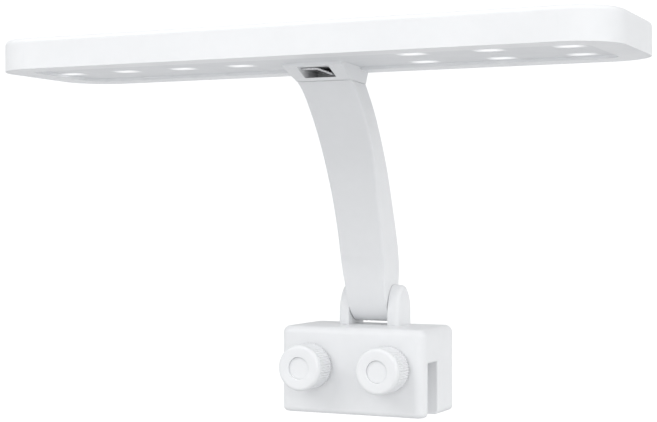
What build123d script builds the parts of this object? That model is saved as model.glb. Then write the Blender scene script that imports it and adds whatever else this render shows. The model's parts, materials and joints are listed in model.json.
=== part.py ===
from build123d import *
import os
from math import cos, pi, sin

# A clip-on LED aquarium light: a thin lamp panel on a curved arm, which tilts on a clamp block.
# Millimetres.  The origin is the middle of the slot's roof, where the edge of the glass stops.
# +X runs along the lamp, -Y is the side that the lamp overhangs (into the tank), +Z is up.

# ---- driving dimensions -------------------------------------------------------------------
# clamp block
BLOCK_W = 75.5
BLOCK_D = 43.0
BLOCK_H = 42.0
BLOCK_R = 5.0             # upright corners
BLOCK_EDGE = 3.6          # top edges
BLOCK_FOOT = 2.4          # bottom edges
SLOT_ROUND = 1.0          # the slot's two ends
SLOT_W = 14.0
SLOT_DEPTH = 25.6
FRONT_JAW = 5.5
WALL = 3.0
COVER_T = 2.5

# hinge
EAR_IN = 10.4             # half the gap between the ears
EAR_OUT = 16.2
EAR_D = 18.1
EAR_DOME = 15.2           # height of the ear's half-ellipse
EAR_UP = 19.8             # ear's top above the block's top
PIVOT_UP = 10.8           # pivot above the block's top
EAR_ROUND = 2.4           # outer rim of each ear
PIN_R = 2.5
PIN_LEN = 28.0
RUN = 0.05                # radial running clearance

# thumb screws
KNOB_R = 11.0
KNOB_LEN = 14.6
KNOB_GAP = 1.0            # knob to front jaw, at rest
KNOB_SPACING = 40.5
KNOB_DROP = 2.55          # screw axis below the slot's roof
RIBS = 52
SCREW_R = 3.0
INSERT_R = 4.4            # brass thread insert
PAD_R = 5.5
POCKET_R = 6.3            # pocket in the slot's roof over each pad
PAD_T = 2.2
RUBBER_T = 1.3
PAD_OUT = 7.0             # back of the pad to the front jaw, at rest

# lamp panel
LAMP_L = 300.0
LAMP_W = 85.0
LAMP_T = 14.6
LAMP_R = 22.0
LAMP_WALL = 1.8
LAMP_UP = 122.3           # underside of the lamp above the block's top
BORDER = 14.0             # rim round the diffuser
RIM_T = 3.6
RECESS = 1.4              # diffuser set back from the underside
GAP = 0.1                 # small clearance between parts that are assembled

# ---- places worked out from them ----------------------------------------------------------
BLOCK_Y0 = -SLOT_W / 2 - FRONT_JAW
BLOCK_Y1 = BLOCK_Y0 + BLOCK_D
BLOCK_Z0 = -SLOT_DEPTH
BLOCK_Z1 = BLOCK_Z0 + BLOCK_H
PIVOT_Y = 17.75
PIVOT_Z = BLOCK_Z1 + PIVOT_UP
LAMP_Z0 = BLOCK_Z1 + LAMP_UP
LAMP_Z1 = LAMP_Z0 + LAMP_T
LAMP_Y1 = BLOCK_Y0 - 0.3
LAMP_Y0 = LAMP_Y1 - LAMP_W
LAMP_YM = (LAMP_Y0 + LAMP_Y1) / 2
DIFF_Z0 = LAMP_Z0 + RECESS
DIFF_T = 1.6
ARM_TOP = LAMP_Z0 - 6.2   # seam between arm and arm head
HEAD_Y0 = LAMP_Y0 + 41.7
HEAD_Y1 = LAMP_Y1 - 0.3

# LED places: x, distance behind the lamp's front edge
LED_LEFT = [(-131 + 31.4 * i, 43.5) for i in range(4)]
LED_FRONT = [(54 + 35 * i, 30.5) for i in range(3)]
LED_BACK = [(47.5 + 36.5 * i, 62.5) for i in range(3)]
LED_PLACES = LED_LEFT + LED_FRONT + LED_BACK
LED_SIZE = 5.0
LED_H = 1.5

# Arm stations: height, front y, back y, front width, back width
ARM_STATIONS = [
    (13.0, 5.2, 27.4, 20.4, 17.6),
    (18.0, 5.2, 27.4, 20.4, 17.6),
    (23.0, 5.2, 27.4, 20.4, 17.6),
    (29.0, 5.1, 27.3, 20.9, 17.7),
    (35.0, 4.6, 27.2, 21.8, 18.2),
    (42.0, 3.1, 26.6, 23.2, 19.6),
    (50.0, 1.3, 24.6, 24.0, 20.8),
    (60.0, -1.2, 21.4, 24.2, 21.3),
    (70.0, -4.1, 17.4, 24.6, 21.8),
    (80.0, -7.4, 13.0, 25.3, 22.4),
    (90.0, -11.1, 8.1, 26.4, 23.2),
    (100.0, -15.6, 2.4, 27.4, 24.0),
    (110.0, -21.4, -3.7, 28.0, 24.4),
    (122.0, -30.8, -11.0, 28.0, 23.8),
    (127.0, -35.6, -14.0, 27.9, 22.8),
    (ARM_TOP, -43.2, -17.2, 27.8, 21.4),
]
CORNER_FRONT = 1.5
CORNER_BACK = 2.0
SEAM = (0.3, 0.5)         # height and depth of the groove between arm and head


# ---- helpers ------------------------------------------------------------------------------
def box(x0, x1, y0, y1, z0, z1):
    """A box between two corners."""
    middle = ((x0 + x1) / 2, (y0 + y1) / 2, (z0 + z1) / 2)
    return Pos(*middle) * Box(x1 - x0, y1 - y0, z1 - z0)


def rod_y(radius, y0, y1, x=0.0, z=0.0):
    """A cylinder along Y."""
    return Pos(x, (y0 + y1) / 2, z) * Rot(90, 0, 0) * Cylinder(radius, y1 - y0)


def rod_x(radius, x0, x1, y=0.0, z=0.0):
    """A cylinder along X."""
    return Pos((x0 + x1) / 2, y, z) * Rot(0, 90, 0) * Cylinder(radius, x1 - x0)


def rod_z(radius, z0, z1, x=0.0, y=0.0):
    """A cylinder along Z."""
    return Pos(x, y, (z0 + z1) / 2) * Cylinder(radius, z1 - z0)


def plate(inset, z0, z1):
    """A slab with the lamp's rounded outline, drawn in by inset."""
    radius = max(LAMP_R - inset, 2.0)
    outline = RectangleRounded(LAMP_L - 2 * inset, LAMP_W - 2 * inset, radius)
    return extrude(Pos(0, LAMP_YM, z0) * outline, z1 - z0)


def join(solids):
    """A group of separate solids in one node."""
    return Compound(children=list(solids))


def whole(shape):
    """The largest solid of a shape, which drops stray slivers."""
    return max(shape.solids(), key=lambda solid: solid.volume)


def arm_section(z, front, back, front_w, back_w, inset=0.0):
    """The arm's cross-section: wider at the front, with rounded corners."""
    y0, y1 = front + inset, back - inset
    a, b = front_w / 2 - inset, back_w / 2 - inset
    outline = Polygon((-a, y0), (a, y0), (b, y1), (-b, y1), align=None)
    ends = outline.vertices().sort_by(Axis.Y)
    outline = fillet(ends[:2], max(CORNER_FRONT - inset, 0.6))
    ends = outline.vertices().sort_by(Axis.Y)
    outline = fillet(ends[-2:], max(CORNER_BACK - inset, 0.5))
    return Pos(0, 0, z) * outline


def station(z):
    """The arm's station at any height, between the listed ones."""
    for low, high in zip(ARM_STATIONS, ARM_STATIONS[1:]):
        if low[0] <= z <= high[0]:
            t = (z - low[0]) / (high[0] - low[0])
            return tuple(a + t * (b - a) for a, b in zip(low, high))
    return ARM_STATIONS[-1]


def screw(length, head_r=2.6, shank_r=1.2, head_t=1.6):
    """A pan-head screw: its head stands on z = 0 and its shank goes down from there."""
    cross = Box(3.0, 0.7, 0.7) + Box(0.7, 3.0, 0.7)
    head = rod_z(head_r, 0, head_t) - Pos(0, 0, head_t) * cross
    return head + rod_z(shank_r, -length, 0)


def screws(places, length, turn=Rot(0, 0, 0), **sizes):
    """One screw at each place, as a group."""
    return join([Pos(*place) * turn * screw(length, **sizes) for place in places])


def holes(places, radius, depth, turn=Rot(0, 0, 0)):
    """Round holes that start at each place and go the way the screws go."""
    return [Pos(*place) * turn * rod_z(radius, -depth, 0) for place in places]


def cut(shape, tools):
    """Take a list of tools out of a shape."""
    for tool in tools:
        shape = shape - tool
    return shape


# ---- clamp --------------------------------------------------------------------------------
CAVITY = (-BLOCK_W / 2 + WALL + 2, BLOCK_W / 2 - WALL - 2, SLOT_W / 2 + WALL, BLOCK_Y1 - COVER_T,
          BLOCK_Z0 + WALL + 1, BLOCK_Z1 - WALL)
COVER_X = BLOCK_W / 2 - 3.4
COVER_Z = (BLOCK_Z0 + 3.4, BLOCK_Z1 - 3.4)
KNOB_XS = (-KNOB_SPACING / 2, KNOB_SPACING / 2)
SCREW_Z = -KNOB_DROP
COVER_SCREWS = [(sx * (COVER_X - 4.2), BLOCK_Y1 - 1.7, z)
                for sx in (-1, 1) for z in (COVER_Z[0] + 4.2, COVER_Z[1] - 4.2)]
BACKWARDS = Rot(-90, 0, 0)     # turns a screw so that its head faces +Y


def ear(side):
    """One bullet-shaped ear of the hinge, with softened edges."""
    dome_z = BLOCK_Z1 + EAR_UP - EAR_DOME
    low = BLOCK_Z1 - 1
    outline = Pos(PIVOT_Y, dome_z) * Ellipse(EAR_D / 2, EAR_DOME)
    outline += Pos(PIVOT_Y, (dome_z + low) / 2) * Rectangle(EAR_D, dome_z - low)
    outline -= Pos(PIVOT_Y, low - EAR_DOME) * Rectangle(2 * EAR_D, 2 * EAR_DOME)
    solid = extrude(Plane.YZ.offset(EAR_IN) * outline, EAR_OUT - EAR_IN)
    rims = [e for e in solid.edges() if e.center().Z > BLOCK_Z1 and abs(e.tangent_at(0).X) < 0.5]
    outer = [e for e in rims if e.center().X > EAR_OUT - 0.1]
    solid = fillet(outer, EAR_ROUND)
    return solid if side > 0 else mirror(solid, Plane.YZ)


def slot_ends(body):
    """The edges where the slot's roof and rear wall meet the block's two end faces."""
    near = 0.01
    at_end = [e for e in body.edges() if abs(abs(e.center().X) - BLOCK_W / 2) < near]
    roof = [e for e in at_end if abs(e.center().Y) < near and abs(e.center().Z) < near]
    wall = [e for e in at_end if abs(e.center().Y - SLOT_W / 2) < near and e.center().Z < -near]
    return roof + wall


def clamp_body():
    """The block that hooks over the glass, hollow behind the slot, with the hinge's ears on top."""
    body = extrude(Pos(0, (BLOCK_Y0 + BLOCK_Y1) / 2, BLOCK_Z0)
                   * RectangleRounded(BLOCK_W, BLOCK_D, BLOCK_R), BLOCK_H)
    body = fillet(body.faces().sort_by(Axis.Z)[-1].edges(), BLOCK_EDGE)
    body = fillet(body.faces().sort_by(Axis.Z)[0].edges(), BLOCK_FOOT)
    body = body - box(-BLOCK_W, BLOCK_W, -SLOT_W / 2, SLOT_W / 2, BLOCK_Z0 - 1, 0)
    body = fillet(slot_ends(body), SLOT_ROUND)
    body = body - box(*CAVITY)
    body = body - box(-COVER_X, COVER_X, BLOCK_Y1 - COVER_T, BLOCK_Y1 + 1, *COVER_Z)
    for x, y, z in COVER_SCREWS:
        body = body + rod_y(3.2, CAVITY[2] - 1, CAVITY[3], x, z)
    body = cut(body, holes(COVER_SCREWS, 1.2, 9.0, BACKWARDS))
    for x in KNOB_XS:
        body = body - rod_y(POCKET_R, -SLOT_W / 2, SLOT_W / 2, x, SCREW_Z)
        body = body - rod_y(INSERT_R, BLOCK_Y0 - 1, -SLOT_W / 2 + 1, x, SCREW_Z)
    body = body + ear(1) + ear(-1)
    return whole(body - rod_x(PIN_R, -PIN_LEN / 2, PIN_LEN / 2, PIVOT_Y, PIVOT_Z))


def clamp_rear_cover():
    """The plate that closes the hollow behind the rear jaw."""
    x, z0, z1 = COVER_X - GAP, COVER_Z[0] + GAP, COVER_Z[1] - GAP
    outline = RectangleRounded(2 * x, z1 - z0, 2.0)
    cover = extrude(Pos(0, BLOCK_Y1, (z0 + z1) / 2) * Rot(90, 0, 0) * outline, COVER_T - 0.02)
    cover = cut(cover, holes(COVER_SCREWS, 1.4, 5.0, BACKWARDS))
    seats = [rod_y(2.9, BLOCK_Y1 - 1.7, BLOCK_Y1 + 1, x, z) for x, y, z in COVER_SCREWS]
    return whole(cut(cover, seats))


def rear_cover_screws():
    return screws(COVER_SCREWS, 8.0, BACKWARDS, head_r=2.5, head_t=1.5, shank_r=1.15)


def thread_inserts():
    """Brass threads for the thumb screws, set in the front jaw."""
    rings = []
    for x in KNOB_XS:
        ring = rod_y(INSERT_R - 0.02, BLOCK_Y0, -SLOT_W / 2, x, SCREW_Z)
        rings.append(ring - rod_y(SCREW_R + RUN, BLOCK_Y0 - 1, 0, x, SCREW_Z))
    return join(rings)


def rear_jaw_pad():
    """The rubber sheet that the glass is pressed against."""
    sheet = box(-30, 30, SLOT_W / 2 - 1.0, SLOT_W / 2, BLOCK_Z0 + 2.5, -9.5)
    return whole(sheet)


def hinge_pin():
    return rod_x(PIN_R - 0.01, -PIN_LEN / 2 + 0.1, PIN_LEN / 2 - 0.1, PIVOT_Y, PIVOT_Z)


# ---- thumb screws -------------------------------------------------------------------------
KNOB_Y1 = BLOCK_Y0 - KNOB_GAP
KNOB_Y0 = KNOB_Y1 - KNOB_LEN
KNOB_LIP = 2.8            # smooth rim in front of the ribs
KNOB_ROUND = 1.7
RIB_DEEP = 0.45
CAP_R = 5.3
CAP_SET = 0.9             # cap set back from the knob's face
PAD_Y0 = -SLOT_W / 2 + PAD_OUT


def knob(x):
    """A thumb knob: a smooth rounded front rim, straight ribs behind, and a round recess."""
    points = []
    for i in range(2 * RIBS):
        radius = KNOB_R - (RIB_DEEP if i % 2 else 0.0)
        points.append((radius * cos(pi * i / RIBS), radius * sin(pi * i / RIBS)))
    ribbed = extrude(Plane.XZ.offset(-KNOB_Y1) * Polygon(*points, align=None), KNOB_LEN - KNOB_LIP)
    rim = rod_y(KNOB_R, KNOB_Y0, KNOB_Y0 + KNOB_LIP)
    front = rim.edges().filter_by(GeomType.CIRCLE).sort_by(Axis.Y)[0]
    body = ribbed + fillet(front, KNOB_ROUND)
    body = body - rod_y(CAP_R, KNOB_Y0 - 1, KNOB_Y0 + 2.2)
    body = body - hex_head(0.06) - rod_y(SCREW_R + 0.02, KNOB_Y0, KNOB_Y1 + 1)
    return Pos(x, 0, SCREW_Z) * whole(body)


def hex_head(grow=0.0):
    """The screw's hexagon head, inside the knob."""
    outline = RegularPolygon(5.0 + grow, 6)
    return extrude(Plane.XZ.offset(-(KNOB_Y0 + 6.2)) * outline, 4.0 + (grow and 0.1))


def knob_cap(x):
    """The disc that closes the knob's recess."""
    return rod_y(CAP_R - 0.02, KNOB_Y0 + CAP_SET, KNOB_Y0 + 2.1, x, SCREW_Z)


def clamp_screw(x):
    """The threaded rod, drawn at its outside diameter, with its head and the tip that holds the pad."""
    rod = hex_head() + rod_y(SCREW_R, KNOB_Y0 + 5, PAD_Y0 - 0.1) + rod_y(1.7, PAD_Y0 - 1, PAD_Y0 + 1.5)
    return Pos(x, 0, SCREW_Z) * rod


def pressure_pad(x):
    pad = rod_y(PAD_R, PAD_Y0, PAD_Y0 + PAD_T, x, SCREW_Z)
    return pad - rod_y(1.7 + RUN, PAD_Y0 - 1, PAD_Y0 + 1.6, x, SCREW_Z)


def pad_rubber(x):
    disc = rod_y(PAD_R - 0.2, PAD_Y0 + PAD_T, PAD_Y0 + PAD_T + RUBBER_T, x, SCREW_Z)
    edge = disc.edges().filter_by(GeomType.CIRCLE).sort_by(Axis.Y)[-1]
    return fillet(edge, 0.4)


# ---- arm ----------------------------------------------------------------------------------
BUSH_R = 4.2
HOLLOW = (46.0, 122.0)
ARM_WALL = 2.2
BACK_T = 2.8              # thickness of the arm's back cover
COVER_GAP = 0.12


def arm_loft(low, high, inset, squeeze=0.0, back_extra=0.0, front_from=None):
    """The arm's outer form between two heights, drawn in by inset."""
    heights = [low] + [s[0] for s in ARM_STATIONS if low + 4 < s[0] < high - 4] + [high]
    faces = []
    for z in heights:
        z, front, back, front_w, back_w = station(z)
        if front_from is not None:
            front = back - front_from
            front_w = back_w
        width = (front_w - 2 * squeeze, back_w - 2 * squeeze)
        faces.append(arm_section(z, front, back + back_extra, *width, inset=inset))
    return loft(faces)


def foot_outline():
    """The side view of the rounded foot, carried on up past the arm."""
    curve = Spline((-6, 60), (4.3, 37.0), (5.7, 31.2), (8.9, 24.6), (13.2, 19.8), (17.75, 18.0),
                   (22.6, 19.6), (26.0, 24.6), (27.0, 31.0), (27.6, 38.0), (29, 60))
    return make_face([curve, Polyline((29, 60), (29, 160), (-80, 160), (-80, 60), (-6, 60))])


def arm_outer():
    whole_arm = arm_loft(ARM_STATIONS[0][0], ARM_TOP, 0.0)
    side_view = extrude(Plane.YZ.offset(-30) * foot_outline(), 60)
    return whole(whole_arm & side_view)


NECK_SCREWS = [(sx * 6.5, -24.0, HOLLOW[1]) for sx in (-1, 1)]
BACK_SCREWS = [(0, station(z)[2] - 1.5, z) for z in (56.0, 78.0)]


def back_panel(inset):
    """The strip of the arm's back that comes off, drawn in by inset."""
    return arm_loft(HOLLOW[0] - 3 + inset, HOLLOW[1] + 1 - inset, 0.0, 1.4 + inset, 5.0, BACK_T - inset)


def arm_shell(outer):
    """The curved hollow arm with its knuckle."""
    opening = back_panel(0.0)
    shell = outer - arm_loft(*HOLLOW, ARM_WALL, back_extra=0.8) - opening
    for x, y, z in BACK_SCREWS:
        shell = shell + ((rod_y(3.0, station(z)[1] + 1, y, x, z) & outer) - opening)
    shell = cut(shell, holes(BACK_SCREWS, 1.15, 9.0, BACKWARDS))
    shell = shell - rod_x(BUSH_R, -20, 20, PIVOT_Y, PIVOT_Z)
    for x, y, z in NECK_SCREWS:
        shell = shell - rod_z(1.3, z - 1, ARM_TOP + 1, x, y)
        shell = shell - rod_z(2.9, z - 2.4, z, x, y)
    return whole(shell)


def arm_back_cover(outer):
    """The strip that closes the arm's back."""
    cover = outer & back_panel(COVER_GAP)
    cover = cut(cover, holes(BACK_SCREWS, 1.35, 9.0, BACKWARDS))
    for x, y, z in BACK_SCREWS:
        cover = cover - rod_y(2.9, y, y + 8, x, z)
    return whole(cover)


def arm_cover_screws():
    return screws(BACK_SCREWS, 7.0, BACKWARDS, head_r=2.6, shank_r=1.1, head_t=1.4)


def hinge_bushing():
    """The sleeve in the arm's foot that turns on the hinge pin."""
    sleeve = rod_x(BUSH_R - 0.02, -9.2, 9.2, PIVOT_Y, PIVOT_Z)
    return sleeve - rod_x(PIN_R + RUN, -20, 20, PIVOT_Y, PIVOT_Z)


# ---- arm head -----------------------------------------------------------------------------
WINDOW = (-7.7, 8.2)
WINDOW_Z = 134.0
WINDOW_DEEP = -32.0
TONGUE_T = 0.9
WINDOW_SILL = 0.3         # skin left between the window and the lamp
HEAD_WIDE = (30.6, 20.4)  # front and back width where the head meets the lamp
HEAD_SCREWS = [(sx * 6.0, -23.6, LAMP_Z0 + 3.6) for sx in (-1, 1)]


def head_solid():
    """The flared head, from the arm's top to the lamp."""
    faces = [arm_section(*station(ARM_TOP))]
    faces.append(arm_section(LAMP_Z0, HEAD_Y0, HEAD_Y1, *HEAD_WIDE))
    flare = loft(faces, ruled=True)
    top = extrude(arm_section(LAMP_Z0, HEAD_Y0, HEAD_Y1, *HEAD_WIDE), RECESS)
    top = top & plate(BORDER + 0.05, LAMP_Z0 - 1, DIFF_Z0)
    return flare + top


def arm_head():
    """The flange that carries the lamp, with the open window in its front."""
    head = head_solid() - box(*WINDOW, HEAD_Y0 - 5, WINDOW_DEEP, WINDOW_Z, LAMP_Z0 - WINDOW_SILL)
    height, depth = SEAM
    core = extrude(arm_section(*station(ARM_TOP), inset=depth), height)
    head = head - (box(-LAMP_W, LAMP_W, LAMP_Y0, 0, ARM_TOP - 1, ARM_TOP + height) - core)
    for x, y, z in NECK_SCREWS:
        head = head - rod_z(1.05, ARM_TOP - 1, ARM_TOP + 1.3, x, y)
    for x, y, z in HEAD_SCREWS:
        head = head - rod_z(1.05, z - 7.6, z, x, y)
    return whole(head)


def neck_screws():
    return join([Pos(*place) * Rot(180, 0, 0) * screw(11.0, 2.5, 1.0) for place in NECK_SCREWS])


def head_screws():
    return screws(HEAD_SCREWS, 7.0, head_r=2.5, shank_r=1.0, head_t=1.2)


def lamp_tongue():
    """The bent catch plate inside the head's window: flat on the left, sloping down on the right."""
    flat, drop = WINDOW_Z + 3.2, WINDOW_Z + 0.5
    left, bend, right = WINDOW[0] + 0.3, 0.5, WINDOW[1] - 0.4
    outline = Polygon((left, flat), (bend, flat), (right, drop), (right, drop + TONGUE_T),
                      (bend, flat + TONGUE_T), (left, flat + TONGUE_T), align=None)
    front, back = HEAD_Y0 + 5.5, WINDOW_DEEP - 0.1
    return whole(extrude(Plane.XZ.offset(-back) * outline, back - front))


# ---- lamp ---------------------------------------------------------------------------------
BOARD_Z = LAMP_Z0 + 5.4
BOARD_T = 1.4
SPREAD_T = 1.2
CEILING = LAMP_Z1 - LAMP_WALL

LEDGE = 3.0               # how far the diffuser rests on the rim
BOARD_INSET = 5.0
BOARD_SCREWS = [(x, LAMP_YM + sy * 31, BOARD_Z) for x in (-128, 0, 128) for sy in (-1, 1)]
JACK_X = 60.0
JACK_Z = LAMP_Z0 + 9.0
JACK = (9.0, 13.0, 8.6)
DRIVER = (JACK_X - 30, JACK_X + 26, LAMP_Y1 - 40, LAMP_Y1 - 17)
DRIVER_Z = BOARD_Z + BOARD_T + SPREAD_T + 1.2


def lamp_top_housing():
    """The one-piece top and sides of the lamp."""
    shell = plate(0, LAMP_Z0, LAMP_Z1)
    shell = fillet(shell.faces().sort_by(Axis.Z)[-1].edges(), 2.2)
    shell = shell - plate(LAMP_WALL, LAMP_Z0 - 1, CEILING)
    for x, y, z in BOARD_SCREWS:
        shell = shell + rod_z(3.0, BOARD_Z + BOARD_T + SPREAD_T, CEILING + 0.5, x, y)
        shell = shell - rod_z(1.05, BOARD_Z, CEILING - 0.4, x, y)
    return whole(shell - rod_y(4.0, LAMP_Y1 - 5, LAMP_Y1 + 1, JACK_X, JACK_Z))


def lamp_bezel():
    """The flat rim round the underside, with the ledge that holds the diffuser."""
    rim = plate(LAMP_WALL + GAP, LAMP_Z0, LAMP_Z0 + RIM_T)
    rim = rim - plate(BORDER, LAMP_Z0 - 1, DIFF_Z0)
    rim = rim - plate(BORDER - LEDGE, DIFF_Z0, LAMP_Z0 + 5)
    seats = []
    for x, y, z in HEAD_SCREWS:
        rim = rim + (rod_z(3.2, DIFF_Z0, z, x, y) - plate(BORDER, DIFF_Z0 - 1, LAMP_Z1))
        seats.append(rod_z(1.2, LAMP_Z0 - 1, z + 1, x, y))
    return whole(cut(rim, seats))


def diffuser():
    """The frosted plate that the LEDs shine through, notched round the head's two screws."""
    sheet = plate(BORDER - LEDGE + GAP, DIFF_Z0, DIFF_Z0 + DIFF_T)
    for x, y, z in HEAD_SCREWS:
        sheet = sheet - box(x - 3.4, x + 3.4, y - 3.4, LAMP_Y1, DIFF_Z0 - 1, LAMP_Z1)
    return whole(sheet)


def diffuser_gasket():
    """The foam strip over the diffuser's edge."""
    low, high = DIFF_Z0 + DIFF_T, DIFF_Z0 + DIFF_T + 0.9
    strip = plate(BORDER - LEDGE + GAP, low, high) - plate(BORDER, low - 1, high + 1)
    for x, y, z in HEAD_SCREWS:
        strip = strip - box(x - 3.4, x + 3.4, y - 3.4, LAMP_Y1, DIFF_Z0 - 1, LAMP_Z1)
    return join(strip.solids())


def jack_notch():
    """The room that the boards leave round the power inlet."""
    half = JACK[0] / 2 + 0.5
    front = LAMP_Y1 - LAMP_WALL - JACK[1] - 1
    return box(JACK_X - half, JACK_X + half, front, LAMP_Y1, LAMP_Z0, LAMP_Z1)


def led_board():
    board = plate(BOARD_INSET, BOARD_Z, BOARD_Z + BOARD_T) - jack_notch()
    return whole(cut(board, [rod_z(1.3, BOARD_Z - 1, BOARD_Z + 3, x, y) for x, y, z in BOARD_SCREWS]))


def led_chips():
    chips = []
    for x, y in LED_PLACES:
        body = box(-LED_SIZE / 2, LED_SIZE / 2, -LED_SIZE / 2, LED_SIZE / 2, BOARD_Z - LED_H, BOARD_Z)
        chips.append(Pos(x, LAMP_Y0 + y, 0) * body)
    return join(chips)


def heat_spreader():
    """The aluminium plate on the board's back, which carries its heat to the housing."""
    low = BOARD_Z + BOARD_T
    sheet = plate(BOARD_INSET + 1, low, low + SPREAD_T) - jack_notch()
    return whole(cut(sheet, [rod_z(1.3, low - 1, low + 3, x, y) for x, y, z in BOARD_SCREWS]))


def board_screws():
    places = BOARD_SCREWS
    return join([Pos(*place) * Rot(180, 0, 0) * screw(6.0, 2.4, 1.0, 1.2) for place in places])


def driver_board():
    x0, x1, y0, y1 = DRIVER
    board = box(x0, x1, y0, y1, DRIVER_Z, DRIVER_Z + 1.0)
    feet = [rod_z(1.6, DRIVER_Z - 1.2, DRIVER_Z, x, y) for x in (x0 + 3, x1 - 3) for y in (y0 + 3, y1 - 3)]
    for foot in feet:
        board = board + foot
    return whole(board)


def driver_components():
    """The choke, the driver chip and the capacitors on the driver board."""
    x0, x1, y0, y1 = DRIVER
    top = DRIVER_Z + 1.0
    middle = (y0 + y1) / 2
    choke = rod_z(4.0, top, top + 2.2, x0 + 12, middle) - rod_z(1.6, top - 1, top + 4, x0 + 12, middle)
    chip = box(x0 + 24, x0 + 30, middle - 3, middle + 3, top, top + 1.4)
    caps = [box(x, x + 3.2, middle - 1.6, middle + 1.6, top, top + 1.8) for x in (x0 + 37, x0 + 43)]
    return join([whole(choke), chip] + caps)


def dc_jack():
    """The round power inlet in the lamp's back edge."""
    w, d, h = JACK
    back = LAMP_Y1 - LAMP_WALL - 0.1
    block = box(JACK_X - w / 2, JACK_X + w / 2, back - d, back, JACK_Z - h / 2, JACK_Z + h / 2 - 0.8)
    nose = rod_y(3.9, LAMP_Y1 - LAMP_WALL - 0.5, LAMP_Y1 - 0.1, JACK_X, JACK_Z)
    body = block + nose - rod_y(2.75, LAMP_Y1 - 10, LAMP_Y1 + 1, JACK_X, JACK_Z)
    return whole(body + rod_y(1.0, LAMP_Y1 - 11, LAMP_Y1 - 1.5, JACK_X, JACK_Z))


def lamp_wires():
    """The two short leads from the inlet to the driver board."""
    leads = []
    for side in (-1, 1):
        x = JACK_X + side * 2.0
        leads.append(rod_y(0.7, LAMP_Y1 - 17.0, LAMP_Y1 - LAMP_WALL - 0.1 - JACK[1], x, DRIVER_Z + 0.5))
    return join(leads)


# ---- the whole light ----------------------------------------------------------------------
def build():
    """Every node, by name."""
    outer = arm_outer()
    nodes = {
        "clamp_body": clamp_body(),
        "clamp_rear_cover": clamp_rear_cover(),
        "rear_cover_screws": rear_cover_screws(),
        "thread_inserts": thread_inserts(),
        "rear_jaw_pad": rear_jaw_pad(),
        "hinge_pin": hinge_pin(),
        "arm_shell": arm_shell(outer),
        "arm_back_cover": arm_back_cover(outer),
        "arm_cover_screws": arm_cover_screws(),
        "hinge_bushing": hinge_bushing(),
        "neck_screws": neck_screws(),
        "arm_head": arm_head(),
        "lamp_tongue": lamp_tongue(),
        "head_screws": head_screws(),
        "lamp_top_housing": lamp_top_housing(),
        "lamp_bezel": lamp_bezel(),
        "diffuser": diffuser(),
        "diffuser_gasket": diffuser_gasket(),
        "led_board": led_board(),
        "led_chips": led_chips(),
        "heat_spreader": heat_spreader(),
        "board_screws": board_screws(),
        "driver_board": driver_board(),
        "driver_components": driver_components(),
        "dc_jack": dc_jack(),
        "lamp_wires": lamp_wires(),
    }
    for side, x in zip(("left", "right"), KNOB_XS):
        nodes["knob_" + side] = knob(x)
        nodes["knob_cap_" + side] = knob_cap(x)
        nodes["clamp_screw_" + side] = clamp_screw(x)
        nodes["pressure_pad_" + side] = pressure_pad(x)
        nodes["pad_rubber_" + side] = pad_rubber(x)
    return nodes


os.makedirs("parts", exist_ok=True)
for name, shape in build().items():
    export_step(shape, f"parts/{name}.step")
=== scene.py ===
import json
from math import cos, pi, radians, sin

import bpy
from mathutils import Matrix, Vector


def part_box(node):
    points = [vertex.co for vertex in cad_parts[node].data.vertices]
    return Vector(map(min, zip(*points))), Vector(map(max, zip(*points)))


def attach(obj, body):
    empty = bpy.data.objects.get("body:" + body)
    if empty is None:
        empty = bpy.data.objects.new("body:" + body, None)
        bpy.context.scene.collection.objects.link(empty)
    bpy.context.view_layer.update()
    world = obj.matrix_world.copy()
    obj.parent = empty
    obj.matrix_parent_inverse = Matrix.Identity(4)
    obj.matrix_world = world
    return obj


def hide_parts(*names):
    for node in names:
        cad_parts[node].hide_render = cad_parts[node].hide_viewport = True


# The looks of a clip-on LED aquarium light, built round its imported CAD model.  Metres.
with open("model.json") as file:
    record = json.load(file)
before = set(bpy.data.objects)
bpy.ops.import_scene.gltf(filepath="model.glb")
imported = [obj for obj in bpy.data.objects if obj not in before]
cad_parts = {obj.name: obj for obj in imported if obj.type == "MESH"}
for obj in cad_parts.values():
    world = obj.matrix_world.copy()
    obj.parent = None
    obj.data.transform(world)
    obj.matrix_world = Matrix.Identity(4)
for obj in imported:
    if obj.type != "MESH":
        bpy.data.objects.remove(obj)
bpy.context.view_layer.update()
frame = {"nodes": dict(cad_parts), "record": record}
NODES = frame["nodes"]
MM = 0.001


# ---- camera -------------------------------------------------------------------------------
IMAGE_W = 657
SENSOR_MM = 36.0
FOCAL_PX = 1483.5
YAW = radians(25.09)          # turned to the left of +Y
EYE = Vector((0.2934, -0.6632, 0.0697))
HORIZON_DROP_PX = 6.1         # the horizon lies this far under the picture's middle
AXIS_RIGHT_PX = 0.5           # and the lens axis this far right of it


def make_camera():
    """A level camera at the photograph's viewing angle."""
    data = bpy.data.cameras.new("camera")
    camera = bpy.data.objects.new("camera", data)
    bpy.context.scene.collection.objects.link(camera)
    camera.location = EYE
    camera.rotation_euler = (pi / 2, 0, YAW)
    data.sensor_width = SENSOR_MM
    data.lens = FOCAL_PX / IMAGE_W * SENSOR_MM
    data.shift_x = -AXIS_RIGHT_PX / IMAGE_W
    data.shift_y = HORIZON_DROP_PX / IMAGE_W
    data.clip_start = 0.01
    data.clip_end = 50
    bpy.context.scene.camera = camera


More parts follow.
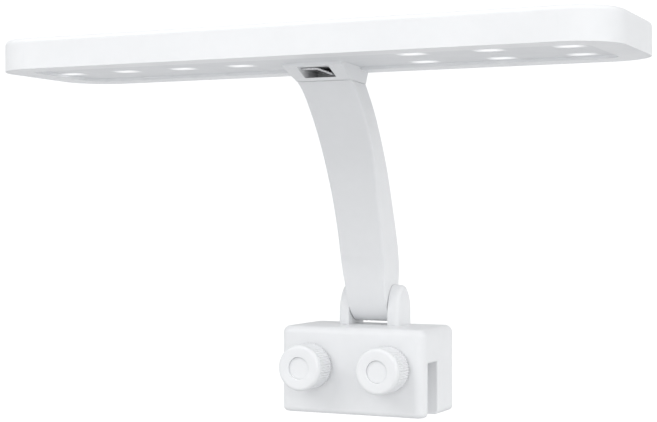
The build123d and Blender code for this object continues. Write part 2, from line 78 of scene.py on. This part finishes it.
# ---- material helpers ---------------------------------------------------------------------
class Graph:
    """A small helper that makes shader nodes and joins them up."""

    def __init__(self, name):
        self.material = bpy.data.materials.new(name)
        self.material.use_nodes = True
        self.tree = self.material.node_tree
        self.shader = self.tree.nodes["Principled BSDF"]
        self.place = self.node("ShaderNodeTexCoord").outputs["Object"]

    def node(self, kind, **values):
        made = self.tree.nodes.new(kind)
        for key, value in values.items():
            setattr(made, key, value)
        return made

    def link(self, start, end):
        self.tree.links.new(start, end)
        return end

    def feed(self, socket, value):
        if hasattr(value, "links"):
            self.link(value, socket)
        else:
            socket.default_value = value

    def math(self, kind, a, b=0.0):
        made = self.node("ShaderNodeMath", operation=kind)
        self.feed(made.inputs[0], a)
        self.feed(made.inputs[1], b)
        return made.outputs[0]

    def noise(self, scale, detail=2.0, stretch=None, rough=0.5):
        made = self.node("ShaderNodeTexNoise")
        made.inputs["Scale"].default_value = scale
        made.inputs["Detail"].default_value = detail
        made.inputs["Roughness"].default_value = rough
        place = self.place
        if stretch:
            mapping = self.node("ShaderNodeMapping")
            mapping.inputs["Scale"].default_value = stretch
            self.link(self.place, mapping.inputs["Vector"])
            place = mapping.outputs[0]
        self.link(place, made.inputs["Vector"])
        return made.outputs["Fac"]

    def span(self, value, low, high, start=0.0, end=1.0):
        made = self.node("ShaderNodeMapRange", clamp=True)
        for slot, number in zip(("From Min", "From Max", "To Min", "To Max"), (start, end, low, high)):
            made.inputs[slot].default_value = number
        self.link(value, made.inputs["Value"])
        return made.outputs[0]

    def ramp(self, value, *stops):
        """A colour ramp through (place, colour) stops."""
        made = self.node("ShaderNodeValToRGB")
        points = made.color_ramp.elements
        while len(points) < len(stops):
            points.new(0.5)
        for point, (place, colour) in zip(points, stops):
            point.position = place
            point.color = (*colour, 1)
        self.link(value, made.inputs[0])
        return made.outputs[0]

    def bump(self, height, strength, distance, under=None):
        made = self.node("ShaderNodeBump")
        made.inputs["Strength"].default_value = strength
        made.inputs["Distance"].default_value = distance
        self.link(height, made.inputs["Height"])
        if under:
            self.link(under, made.inputs["Normal"])
        return made.outputs[0]

    def crevice(self, distance):
        """How open the surface is: under 1 in narrow seams and inner corners."""
        made = self.node("ShaderNodeAmbientOcclusion", samples=6, only_local=True)
        made.inputs["Distance"].default_value = distance
        return made.outputs["AO"]


def shade(colour, amount):
    """The colour, lighter or darker by amount."""
    return tuple(max(0.0, min(1.0, c * (1 + amount))) for c in colour)


def moulded_plastic(name, colour, rough=0.42, grain=2600.0, grain_bump=0.16, variation=0.02,
                    crevice_shade_depth=0.05):
    """Satin injection-moulded plastic: spark-eroded grain, faint flow marks, handling marks and painted
    shade in its crevices.
    """
    g = Graph(name)
    cloud = g.noise(28.0, 3.0)
    mottle = g.noise(210.0, 2.0)
    tone = g.math("ADD", g.math("MULTIPLY", cloud, 0.7), g.math("MULTIPLY", mottle, 0.3))
    base = g.ramp(tone, (0.3, shade(colour, -variation)), (0.7, shade(colour, variation)))
    # painted shade: the base colour is darkened in narrow seams and inner corners, where ambient
    # occlusion finds them
    painted_crevice_shade = g.span(g.crevice(1.2 * MM), 1 - crevice_shade_depth, 1.0, 0.35, 0.8)
    mix = g.node("ShaderNodeMix", data_type="RGBA", blend_type="MULTIPLY")
    mix.inputs["Factor"].default_value = 1.0
    g.link(base, mix.inputs["A"])
    g.link(painted_crevice_shade, mix.inputs["B"])
    g.link(mix.outputs["Result"], g.shader.inputs["Base Color"])
    marks = g.noise(64.0, 5.0, rough=0.7)
    smear = g.noise(9.0, 2.0, stretch=(1.0, 3.0, 1.0))
    finish = g.math("ADD", g.span(marks, rough - 0.05, rough + 0.06, 0.3, 0.7),
                    g.span(smear, -0.03, 0.03, 0.3, 0.7))
    g.link(finish, g.shader.inputs["Roughness"])
    g.shader.inputs["IOR"].default_value = 1.49
    fine = g.bump(g.noise(grain, 2.0), grain_bump, 0.03 * MM)
    broad = g.bump(g.noise(95.0, 1.0), 0.10, 0.05 * MM, under=fine)
    g.link(broad, g.shader.inputs["Normal"])
    return g.material


def metal(name, colour, rough=0.28, brush=(1.0, 1.0, 1.0), brush_scale=900.0, variation=0.06):
    """Plated or milled metal with a fine directional finish and dull patches."""
    g = Graph(name)
    lines = g.noise(brush_scale, 3.0, stretch=brush)
    patches = g.noise(120.0, 4.0, rough=0.65)
    base = g.ramp(patches, (0.3, shade(colour, -variation)), (0.7, shade(colour, variation)))
    g.link(base, g.shader.inputs["Base Color"])
    g.shader.inputs["Metallic"].default_value = 1.0
    finish = g.math("ADD", g.span(patches, rough - 0.06, rough + 0.1, 0.3, 0.75),
                    g.span(lines, -0.05, 0.05, 0.3, 0.7))
    g.link(finish, g.shader.inputs["Roughness"])
    g.link(g.bump(lines, 0.2, 0.02 * MM), g.shader.inputs["Normal"])
    return g.material


def soft_rubber(name, colour, rough=0.6):
    """Matt rubber with a talc-like bloom and a pebbled skin."""
    g = Graph(name)
    bloom = g.noise(160.0, 4.0, rough=0.6)
    g.link(g.ramp(bloom, (0.3, shade(colour, -0.08)), (0.75, shade(colour, 0.08))),
           g.shader.inputs["Base Color"])
    g.link(g.span(bloom, rough - 0.08, rough + 0.12, 0.3, 0.7), g.shader.inputs["Roughness"])
    g.link(g.bump(g.noise(1500.0, 3.0), 0.35, 0.05 * MM), g.shader.inputs["Normal"])
    return g.material


def circuit_board(name, colour):
    """Solder mask over faint copper tracks."""
    g = Graph(name)
    wave = g.node("ShaderNodeTexBrick")
    wave.inputs["Scale"].default_value = 90.0
    wave.inputs["Mortar Size"].default_value = 0.012
    wave.inputs["Color1"].default_value = (*colour, 1)
    wave.inputs["Color2"].default_value = (*shade(colour, 0.12), 1)
    wave.inputs["Mortar"].default_value = (*shade(colour, 0.5), 1)
    g.link(g.place, wave.inputs["Vector"])
    g.link(wave.outputs["Color"], g.shader.inputs["Base Color"])
    g.link(g.span(g.noise(200.0, 3.0), 0.3, 0.42, 0.3, 0.7), g.shader.inputs["Roughness"])
    g.link(g.bump(wave.outputs["Fac"], 0.3, 0.03 * MM), g.shader.inputs["Normal"])
    return g.material


LED_GLOW_X = 5.0 * MM         # half the width of the light square over each LED
LED_GLOW_Y = 3.8 * MM
LED_SHINE = 0.50              # how brightly it glows
LED_EDGE = 4.6 * MM           # over which it fades


def led_centres():
    """The middle of each LED, from the chips' own solids."""
    mesh = NODES["led_chips"].data
    groups = {}
    parent = list(range(len(mesh.vertices)))

    def root(i):
        while parent[i] != i:
            parent[i] = parent[parent[i]]
            i = parent[i]
        return i

    keys = {}
    for vertex in mesh.vertices:
        key = tuple(round(c, 6) for c in vertex.co)
        parent[root(vertex.index)] = root(keys.setdefault(key, vertex.index))
    for edge in mesh.edges:
        parent[root(edge.vertices[0])] = root(edge.vertices[1])
    for vertex in mesh.vertices:
        groups.setdefault(root(vertex.index), []).append(vertex.co)
    centres = []
    for points in groups.values():
        middle = sum(points, Vector()) / len(points)
        centres.append(middle)
    return sorted(centres, key=lambda c: (round(c.x, 4), c.y))


def frosted_plate(name, colour, centres):
    """The frosted sheet: even and pale, with a soft bright square over each LED."""
    g = Graph(name)
    xyz = g.node("ShaderNodeSeparateXYZ")
    g.link(g.place, xyz.inputs[0])
    glow = None
    for centre in centres:
        dx = g.math("ABSOLUTE", g.math("SUBTRACT", xyz.outputs["X"], centre.x))
        dy = g.math("ABSOLUTE", g.math("SUBTRACT", xyz.outputs["Y"], centre.y))
        inside_x = g.span(dx, 1.0, 0.0, LED_GLOW_X - LED_EDGE / 2, LED_GLOW_X + LED_EDGE / 2)
        inside_y = g.span(dy, 1.0, 0.0, LED_GLOW_Y - LED_EDGE / 2, LED_GLOW_Y + LED_EDGE / 2)
        square = g.math("MULTIPLY", inside_x, inside_y)
        glow = square if glow is None else g.math("MAXIMUM", glow, square)
    cloud = g.noise(60.0, 3.0)
    g.link(g.ramp(cloud, (0.3, shade(colour, -0.02)), (0.7, shade(colour, 0.02))),
           g.shader.inputs["Base Color"])
    g.link(g.span(g.noise(180.0, 3.0), 0.46, 0.58, 0.3, 0.7), g.shader.inputs["Roughness"])
    g.link(g.bump(g.noise(3200.0, 2.0), 0.25, 0.03 * MM), g.shader.inputs["Normal"])
    g.shader.inputs["Emission Color"].default_value = (1.0, 1.0, 1.0, 1)
    g.link(g.math("MULTIPLY", glow, LED_SHINE), g.shader.inputs["Emission Strength"])
    return g.material


def led_package(name):
    """A lit LED's phosphor window and pale body."""
    g = Graph(name)
    speck = g.noise(1500.0, 3.0)
    g.link(g.ramp(speck, (0.3, (0.95, 0.9, 0.72)), (0.7, (1.0, 0.96, 0.84))),
           g.shader.inputs["Base Color"])
    g.link(g.span(speck, 0.25, 0.4), g.shader.inputs["Roughness"])
    g.shader.inputs["Emission Color"].default_value = (1.0, 0.98, 0.94, 1)
    g.shader.inputs["Emission Strength"].default_value = 3.0
    return g.material


WHITE = (0.86, 0.868, 0.88)
MATERIALS = {
    "white_abs": moulded_plastic("white_abs", WHITE),
    "frosted_plastic": frosted_plate("frosted_plastic", (0.80, 0.81, 0.825), led_centres()),
    "led": led_package("led"),
    "steel": metal("steel", (0.70, 0.70, 0.71)),
    "brass": metal("brass", (0.80, 0.62, 0.30), rough=0.25),
    # nylon gets deeper painted shade in its crevices than the other plastics
    "nylon": moulded_plastic("nylon", (0.80, 0.78, 0.72), rough=0.5, crevice_shade_depth=0.1),
    "aluminium": metal("aluminium", (0.78, 0.79, 0.80), rough=0.35, brush=(1.0, 14.0, 1.0)),
    "rubber": soft_rubber("rubber", (0.66, 0.67, 0.68)),
    "circuit_board": circuit_board("circuit_board", (0.05, 0.22, 0.10)),
    "component": moulded_plastic("component", (0.03, 0.03, 0.032), rough=0.4, variation=0.15),
    "black_plastic": moulded_plastic("black_plastic", (0.025, 0.025, 0.028), rough=0.38, variation=0.15),
    "wire": moulded_plastic("wire", (0.5, 0.04, 0.03), rough=0.35, variation=0.08),
}


def dress_nodes():
    """Give each CAD node the material of its slot."""
    for part in frame["record"]["subparts"]:
        node = NODES[part["node"]]
        node.data.materials.clear()
        node.data.materials.append(MATERIALS[part["material_slot"]])


# ---- turned pieces ------------------------------------------------------------------------
RIBS = 52
RIB_DEPTH = 0.55 * MM
THREAD_PITCH = 1.0 * MM
HEX_R = 4.98 * MM             # middle of the screw's head to its corners
TINY = 0.002 * MM             # radius at the middle of a closed end
THREAD_DEPTH = 0.45 * MM


def turned(name, node, rings, sides, slot, shape=None):
    """A piece turned about the Y axis through the middle of a CAD node, which it replaces.

    rings holds (y, radius, weight) in order round a closed profile; shape(angle, y) gives the
    depth taken off the radius where the weight is 1.
    """
    low, high = (Vector(c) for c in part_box(node))
    middle = (low + high) / 2
    verts = []
    for y, radius, weight in rings:
        for k in range(sides):
            angle = 2 * pi * k / sides
            r = radius - (weight * shape(angle, y) if weight else 0.0)
            verts.append((middle.x + r * cos(angle), y, middle.z + r * sin(angle)))
    faces = []
    count = len(rings)
    for i in range(count):
        a, b = i * sides, (i + 1) % count * sides
        for k in range(sides):
            m = (k + 1) % sides
            faces.append((a + k, a + m, b + m, b + k))
    mesh = bpy.data.meshes.new(name)
    mesh.from_pydata(verts, [], faces)
    mesh.validate()
    piece = bpy.data.objects.new(name, mesh)
    bpy.context.scene.collection.objects.link(piece)
    mesh.materials.append(MATERIALS[slot])
    mesh.shade_smooth()
    mesh.set_sharp_from_angle(angle=radians(38))
    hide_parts(node)
    return piece


def arc(y, radius, size, start, end, steps=7):
    """Points round a quarter turn of a rounded edge, about its centre (y, radius)."""
    turns = [start + (end - start) * i / steps for i in range(steps + 1)]
    return [(y + size * cos(radians(t)), radius + size * sin(radians(t)), 0.0) for t in turns]


def rib(angle, y):
    """Straight rounded ribs, as wide as the grooves between them."""
    return RIB_DEPTH * (0.5 + 0.5 * cos(angle * RIBS))


def make_knob(side):
    """The thumb knob: rounded smooth front rim, ribbed grip, softened back edge, soft recess."""
    node = "knob_" + side
    low, high = (Vector(c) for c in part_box(node))
    front, back = low.y, high.y
    radius = (high.x - low.x) / 2
    cap = (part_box("knob_cap_" + side)[1][0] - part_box("knob_cap_" + side)[0][0]) / 2 + 0.04 * MM
    cap_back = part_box("knob_cap_" + side)[1][1]
    bore = 3.04 * MM
    socket = 5.1 * MM
    edge, lip, soft = 1.7 * MM, 3.1 * MM, 0.3 * MM
    rings = [(cap_back + 0.05 * MM, cap, 0.0)]
    rings += arc(front + soft, cap + soft, soft, 270, 180, 4)
    rings += [(front, radius - edge - 0.6 * MM, 0.0)]
    rings += arc(front + edge, radius - edge, edge, 180, 90, 9)
    rings += [(front + lip - 0.45 * MM, radius, 0.0)]
    rings += [(front + lip - 0.3 * MM, radius - 0.05 * MM, 0.15)]
    rings += [(front + lip, radius - 0.02 * MM, 1.0)]
    grip = back - 0.5 * MM - (front + lip)
    rings += [(front + lip + grip * i / 6, radius - 0.02 * MM, 1.0) for i in range(1, 7)]
    rings += [(back - 0.15 * MM, radius - 0.25 * MM, 0.8), (back, radius - 0.7 * MM, 0.4)]
    rings += [(back, radius - 1.4 * MM, 0.0), (back, bore, 0.0)]
    rings += [(front + 10.4 * MM, bore, 0.0), (front + 10.4 * MM, socket, 0.0)]
    rings += [(front + 6.1 * MM, socket, 0.0), (front + 6.1 * MM, bore, 0.0)]
    rings += [(cap_back + 0.05 * MM, bore, 0.0)]
    knob = turned("grip_" + side, node, rings, RIBS * 8, "white_abs", rib)
    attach(knob, "screw_" + side)


def make_cap(side):
    """The knob's cap: a very slightly domed disc with a soft edge."""
    node = "knob_cap_" + side
    low, high = (Vector(c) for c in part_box(node))
    radius = (high.x - low.x) / 2
    soft = 0.22 * MM
    rings = [(high.y, TINY, 0.0), (high.y, radius, 0.0)]
    rings += arc(low.y + soft + 0.12 * MM, radius - soft, soft, 90, 180, 4)
    rings += [(low.y + 0.12 * MM * (1 - t) ** 2, (radius - soft) * (1 - t) + TINY, 0.0)
              for t in (0.25, 0.5, 0.75, 0.9, 1.0)]
    cap = turned("cap_" + side, node, rings, 96, "white_abs")
    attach(cap, "screw_" + side)


def thread(angle, y):
    """A right-hand screw thread with flattened crests."""
    phase = (y / THREAD_PITCH - angle / (2 * pi)) % 1.0
    return THREAD_DEPTH * min(1.0, max(0.0, abs(2 * phase - 1) * 1.5 - 0.25))


def hexagon(angle, y):
    """Takes a round head down to a hexagon."""
    flat = (angle + pi / 6) % (pi / 3) - pi / 6
    return HEX_R * (1 - cos(pi / 6) / cos(flat))


def make_screw(side):
    """The clamp's screw: hexagon head, cut thread and a plain turned tip."""
    node = "clamp_screw_" + side
    low, high = (Vector(c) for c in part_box(node))
    knob_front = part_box("knob_" + side)[0][1]
    pad_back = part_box("pressure_pad_" + side)[0][1]
    radius, tip = 2.99 * MM, 1.68 * MM
    head0, head1 = knob_front + 6.25 * MM, knob_front + 10.15 * MM
    start, end = head1 + 0.6 * MM, pad_back - 0.8 * MM
    step = THREAD_PITCH / 10
    count = int((end - start) / step)
    rings = [(low.y + 0.02 * MM, TINY, 0.0), (low.y + 0.02 * MM, radius - 0.3 * MM, 0.0)]
    rings += [(head0, radius - 0.3 * MM, 0.0), (head0, HEX_R - 0.35 * MM, 1.0)]
    rings += [(head0 + 0.35 * MM, HEX_R, 1.0), (head1 - 0.1 * MM, HEX_R, 1.0)]
    rings += [(head1, HEX_R - 0.2 * MM, 1.0), (head1, radius - 0.5 * MM, 0.0)]

    def depth(angle, y):
        return hexagon(angle, y) if y <= head1 + 1e-9 else thread(angle, y)

    rings += [(start + step * i, radius, min(1.0, i / 8, (count - i) / 8)) for i in range(count + 1)]
    rings += [(end + 0.35 * MM, radius - 0.45 * MM, 0.0), (end + 0.5 * MM, tip, 0.0)]
    rings += [(high.y - 0.2 * MM, tip, 0.0), (high.y, tip - 0.2 * MM, 0.0), (high.y, TINY, 0.0)]
    screw = turned("threaded_screw_" + side, node, rings, 48, "steel", depth)
    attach(screw, "screw_" + side)


def make_pad(side):
    """The metal disc that the screw presses with, chamfered, with a raised socket ring."""
    node = "pressure_pad_" + side
    low, high = (Vector(c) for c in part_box(node))
    radius = (high.x - low.x) / 2
    bore, soft = 1.76 * MM, 0.3 * MM
    rings = [(low.y + 1.62 * MM, TINY, 0.0), (low.y + 1.62 * MM, bore, 0.0)]
    rings += [(low.y + 0.15 * MM, bore, 0.0)]
    rings += [(low.y, bore + 0.15 * MM, 0.0), (low.y, bore + 1.3 * MM, 0.0)]
    rings += [(low.y + 0.3 * MM, bore + 1.5 * MM, 0.0), (low.y + 0.35 * MM, radius - 0.6 * MM, 0.0)]
    rings += arc(low.y + 0.35 * MM + soft, radius - soft, soft, 180, 90, 4)
    rings += arc(high.y - soft, radius - soft, soft, 90, 0, 4)
    rings += [(high.y, TINY, 0.0)]
    pad = turned("disc_" + side, node, rings, 80, "steel")
    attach(pad, "pad_" + side)


# ---- floor, world and lights --------------------------------------------------------------
FLOOR_Z = -0.32
FLOOR_SIZE = 60.0
KEY = ((-0.45, -0.62, 0.72), 1.02, 45)      # where it comes from, strength, spread in degrees
FILL = ((0.75, -0.45, 0.48), 1.2, 80)
ROOM_TINT = (0.985, 0.993, 1.0)
ROOM_LIGHT = 0.60             # how brightly the surroundings light the object
ROOM_SEEN = 1.10              # how bright they look behind it
# Painted shade and light on the floor: a darker colour near the light, a paler one further off.
FLOOR_SHADED_INNER = (0.64, 0.643, 0.65)
FLOOR_SHINE = 0.16            # how much the far floor lights up, so that it meets the background
FLOOR_LIT_OUTER = (0.95, 0.95, 0.95)
FLOOR_NEAR = 0.9              # distances between which the painted shade on the floor gives way to its paler, glowing far part
FLOOR_FAR = 2.2


def make_stage():
    """A pale floor well below the light, which hangs as on a tank's wall; painted shade darkens it near
    the light, and painted light makes it paler and glowing far off.
    """
    bpy.ops.mesh.primitive_plane_add(size=FLOOR_SIZE, location=(0, 0, FLOOR_Z))
    floor = bpy.context.object
    floor.name = "floor"
    g = Graph("floor")
    reach = g.node("ShaderNodeVectorMath", operation="LENGTH")
    g.link(g.place, reach.inputs[0])
    # painted shade and light: the floor is darker near the light and grows paler and glowing further off
    outward = g.span(reach.outputs["Value"], 0.0, 1.0, FLOOR_NEAR, FLOOR_FAR)
    tone = g.math("ADD", outward, g.span(g.noise(2.0, 2.0), -0.01, 0.01))
    g.link(g.ramp(tone, (0.0, FLOOR_SHADED_INNER), (1.0, FLOOR_LIT_OUTER)), g.shader.inputs["Base Color"])
    g.shader.inputs["Roughness"].default_value = 0.9
    g.shader.inputs["Emission Color"].default_value = (1.0, 1.0, 1.0, 1)
    g.link(g.math("MULTIPLY", outward, FLOOR_SHINE), g.shader.inputs["Emission Strength"])
    g.link(g.bump(g.noise(300.0, 2.0), 0.05, 0.2 * MM), g.shader.inputs["Normal"])
    floor.data.materials.append(g.material)


def soft_sun(name, towards, strength, spread):
    """A distant soft light that comes from the direction towards."""
    data = bpy.data.lights.new(name, "SUN")
    data.energy = strength
    data.angle = radians(spread)
    light = bpy.data.objects.new(name, data)
    bpy.context.scene.collection.objects.link(light)
    light.rotation_euler = Vector(towards).to_track_quat("Z", "Y").to_euler()


def make_lights():
    """White surroundings, seen as pure white, with a soft key from the upper left front."""
    world = bpy.data.worlds.new("studio")
    bpy.context.scene.world = world
    world.use_nodes = True
    tree = world.node_tree
    back = tree.nodes["Background"]
    back.inputs["Color"].default_value = (*ROOM_TINT, 1)
    path = tree.nodes.new("ShaderNodeLightPath")
    level = tree.nodes.new("ShaderNodeMapRange")
    level.inputs["To Min"].default_value = ROOM_LIGHT
    level.inputs["To Max"].default_value = ROOM_SEEN
    tree.links.new(path.outputs["Is Camera Ray"], level.inputs["Value"])
    tree.links.new(level.outputs[0], back.inputs["Strength"])
    soft_sun("key", *KEY)
    soft_sun("fill", *FILL)


def make_view():
    settings = bpy.context.scene.view_settings
    settings.view_transform = "Standard"
    settings.look = "None"


make_camera()
dress_nodes()
for side in ("left", "right"):
    make_knob(side)
    make_cap(side)
    make_screw(side)
    make_pad(side)
make_stage()
make_lights()
make_view()
